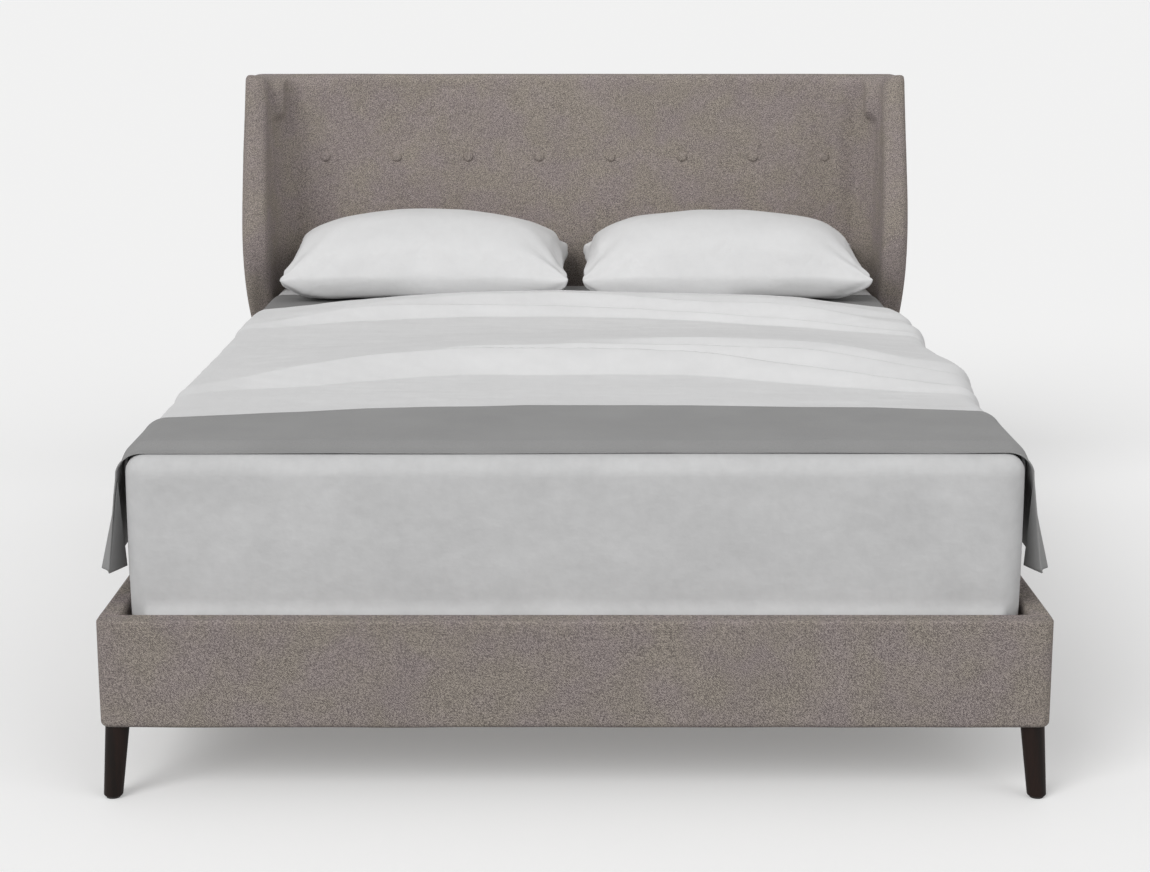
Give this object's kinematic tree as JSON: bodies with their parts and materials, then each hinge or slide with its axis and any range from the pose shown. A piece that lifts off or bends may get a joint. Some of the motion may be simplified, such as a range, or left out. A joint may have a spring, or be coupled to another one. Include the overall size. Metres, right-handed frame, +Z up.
{
  "type": "double bed",
  "caption": "Upholstered double bed: winged, buttoned headboard, padded rails on tapered splayed legs, slatted deck, mattress, sheet, blanket, coverlet, foot runner and pillows.",
  "frame": {"origin": "on the floor, under the middle of the bed's whole box", "axes": "+X to the bed's right side as seen from its foot, +Y from the foot to the headboard, +Z up"},
  "size_m": [1.6782, 2.193, 1.1331],
  "materials": {
    "upholstery": "heathered taupe twill",
    "headboard_padding": "soft foam and wadding",
    "back_lining": "plain black-brown lining cloth",
    "solid_wood": "planed softwood",
    "plywood": "plywood, unfinished",
    "slat_wood": "planed softwood with eased edges",
    "leg_wood": "espresso stain, satin",
    "steel_parts": "zinc plated",
    "leveller_plastic": "black plastic",
    "glide_felt": "dark glide pads",
    "webbing": "woven tape",
    "mattress_foam": "foam and springs, simplified to one block",
    "ticking": "white knitted ticking",
    "sheet_cotton": "white cotton",
    "blanket_wool": "grey brushed weave",
    "coverlet_cotton": "white soft cotton",
    "runner_weave": "grey woven cloth",
    "pillow_cotton": "white cotton, filled"
  },
  "bodies": {
    "frame": {"beam_brackets": "steel_parts", "centre_beam": "solid_wood", "centre_leg_foot": "solid_wood", "centre_leg_head": "solid_wood", "corner_block_left": "solid_wood", "corner_block_right": "solid_wood", "footboard_board": "solid_wood", "footboard_cover": "upholstery", "frame_bolts": "steel_parts", "hanger_bolts": "steel_parts", "headboard_back_cloth": "back_lining", "headboard_bottom_rail": "solid_wood", "headboard_cover": "upholstery", "headboard_foam": "headboard_padding", "headboard_mid_rail": "solid_wood", "headboard_panel": "plywood", "headboard_post_left": "solid_wood", "headboard_post_right": "solid_wood", "headboard_top_rail": "solid_wood", "leg_front_left": "leg_wood", "leg_front_right": "leg_wood", "leg_glides": "glide_felt", "leg_plates": "steel_parts", "leg_rear_left": "leg_wood", "leg_rear_right": "leg_wood", "rail_board_left": "solid_wood", "rail_board_right": "solid_wood", "rail_brackets": "steel_parts", "rail_cover_left": "upholstery", "rail_cover_right": "upholstery", "slat_01": "slat_wood", "slat_02": "slat_wood", "slat_03": "slat_wood", "slat_04": "slat_wood", "slat_05": "slat_wood", "slat_06": "slat_wood", "slat_07": "slat_wood", "slat_08": "slat_wood", "slat_09": "slat_wood", "slat_10": "slat_wood", "slat_11": "slat_wood", "slat_12": "slat_wood", "slat_ledger_left": "solid_wood", "slat_ledger_right": "solid_wood", "slat_straps": "webbing", "tuft_buttons": "upholstery", "wing_board_left": "plywood", "wing_board_right": "plywood"},
    "mattress": {"mattress_core": "mattress_foam", "mattress_cover": "ticking", "fitted_sheet": "sheet_cotton", "blanket": "blanket_wool", "coverlet": "coverlet_cotton", "runner": "runner_weave"},
    "pillow_left": {"pillow_left": "pillow_cotton"},
    "pillow_right": {"pillow_right": "pillow_cotton"},
    "leveller_foot": {"leveller_foot": "leveller_plastic"},
    "leveller_head": {"leveller_head": "leveller_plastic"}
  },
  "joints": [
    {"name": "mattress_lift", "type": "slide", "parent": "frame", "child": "mattress", "axis": [0, 0, 1], "range_m": [0, 0.4]},
    {"name": "pillow_left_lift", "type": "slide", "parent": "mattress", "child": "pillow_left", "axis": [0, 0, 1], "range_m": [0, 0.3]},
    {"name": "pillow_right_lift", "type": "slide", "parent": "mattress", "child": "pillow_right", "axis": [0, 0, 1], "range_m": [0, 0.3]},
    {"name": "leveller_foot_screw", "type": "slide", "parent": "frame", "child": "leveller_foot", "axis": [0, 0, 1], "range_m": [-0.015, 0.006]},
    {"name": "leveller_head_screw", "type": "slide", "parent": "frame", "child": "leveller_head", "axis": [0, 0, 1], "range_m": [-0.015, 0.006]}
  ]
}
